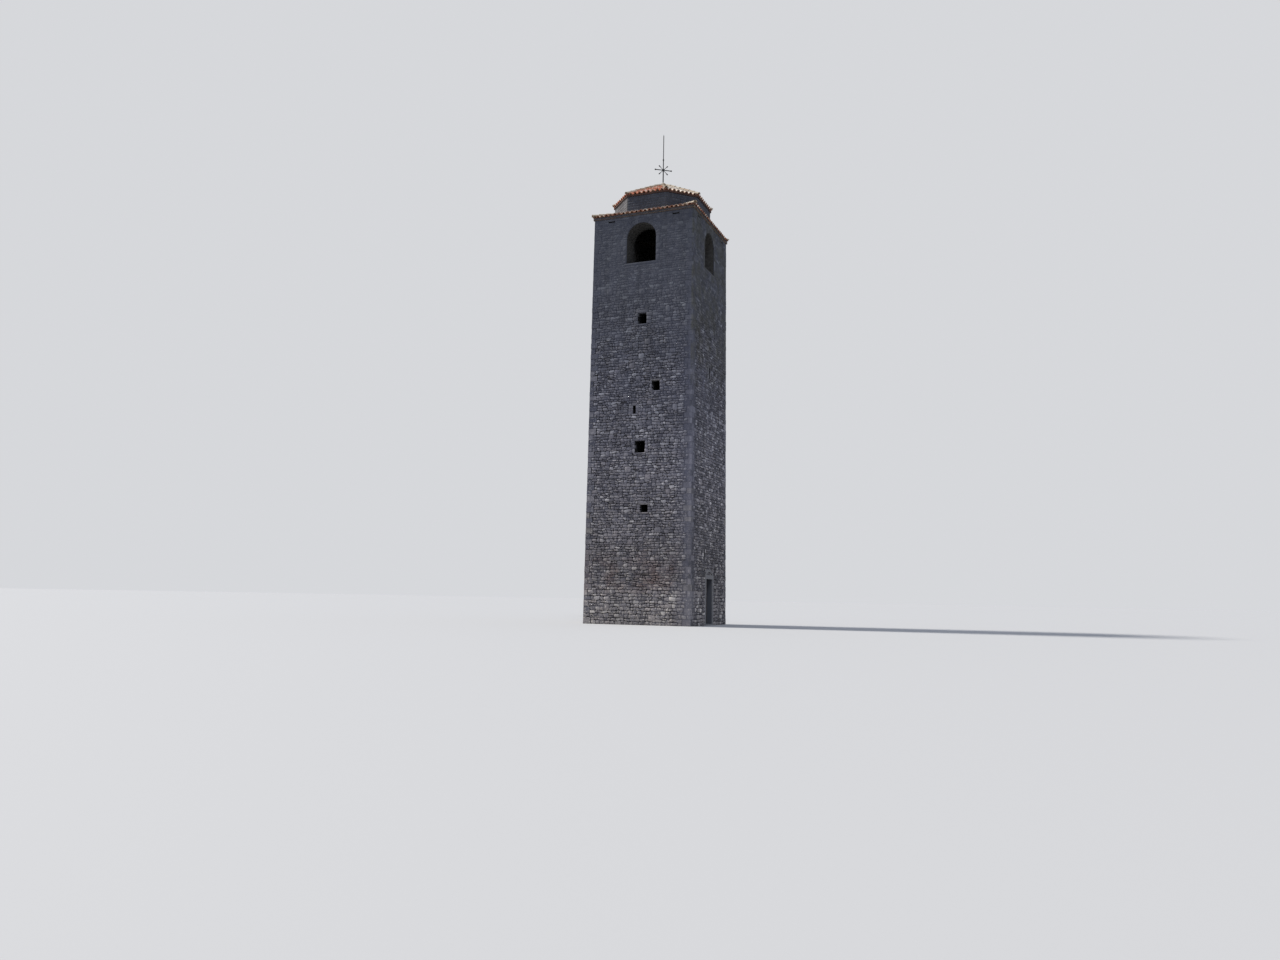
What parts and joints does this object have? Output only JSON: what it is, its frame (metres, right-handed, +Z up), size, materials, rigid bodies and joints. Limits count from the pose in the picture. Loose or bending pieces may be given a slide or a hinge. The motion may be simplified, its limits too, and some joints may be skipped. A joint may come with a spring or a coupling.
{
  "type": "clock tower",
  "caption": "Square battered rubble-stone tower with a side doorway, slit windows, arched belfry, tiled skirt roof, octagonal lantern with a tiled roof, and an iron cross on a pole.",
  "frame": {"origin": "on the ground, at the middle of the square plan", "axes": "+Z up; -Y looks out of the front, the wide face in the picture; +X looks out of the right side, where the doorway is"},
  "size_m": [4.7536, 4.7536, 21.56],
  "materials": {
    "rubble_masonry": "rough coursed rubble in lime mortar",
    "dressed_stone": "dressed limestone, matt",
    "paving": "worn limestone flags",
    "plank_floor": "dry weathered planks",
    "eaves_mortar": "warm lime mortar over flat stones",
    "roof_tile": "unglazed clay tile, lichened",
    "hip_tile": "unglazed clay tile bedded in lime mortar",
    "cap_mortar": "trowelled lime mortar",
    "door_timber": "dark weathered boards",
    "iron": "forged iron, blackened"
  },
  "bodies": {
    "tower": {"front_wall_upper": "rubble_masonry", "front_belfry_wall": "rubble_masonry", "front_eaves_course": "eaves_mortar", "front_lower_roof": "roof_tile", "lantern_front_wall": "rubble_masonry", "right_wall_upper": "rubble_masonry", "right_belfry_wall": "rubble_masonry", "right_eaves_course": "eaves_mortar", "right_lower_roof": "roof_tile", "lantern_right_wall": "rubble_masonry", "back_wall_upper": "rubble_masonry", "back_belfry_wall": "rubble_masonry", "back_eaves_course": "eaves_mortar", "back_lower_roof": "roof_tile", "lantern_back_wall": "rubble_masonry", "left_wall_upper": "rubble_masonry", "left_belfry_wall": "rubble_masonry", "left_eaves_course": "eaves_mortar", "left_lower_roof": "roof_tile", "lantern_left_wall": "rubble_masonry", "front_wall_lower": "rubble_masonry", "back_wall_lower": "rubble_masonry", "left_wall_lower": "rubble_masonry", "right_wall_left_of_door": "rubble_masonry", "right_wall_right_of_door": "rubble_masonry", "right_wall_over_door": "rubble_masonry", "ground_floor": "paving", "belfry_floor": "plank_floor", "threshold": "dressed_stone", "door_jambs": "dressed_stone", "door_lintel": "dressed_stone", "relieving_arch": "dressed_stone", "door_pintles": "iron", "lower_hip_tiles": "hip_tile", "lantern_corner_walls": "rubble_masonry", "lantern_roof_deck": "plank_floor", "upper_roof_main_slopes": "roof_tile", "upper_roof_corner_slopes": "roof_tile", "roof_cap": "cap_mortar", "upper_hip_tiles": "hip_tile", "finial_pole": "iron", "cross": "iron"},
    "door": {"door_leaf": "door_timber", "door_straps": "iron"}
  },
  "joints": [
    {"name": "door_swing", "type": "hinge", "parent": "tower", "child": "door", "pos_m": [2.006, 0.52, 1], "axis": [0, 0, -1], "range_deg": [0, 90]}
  ]
}
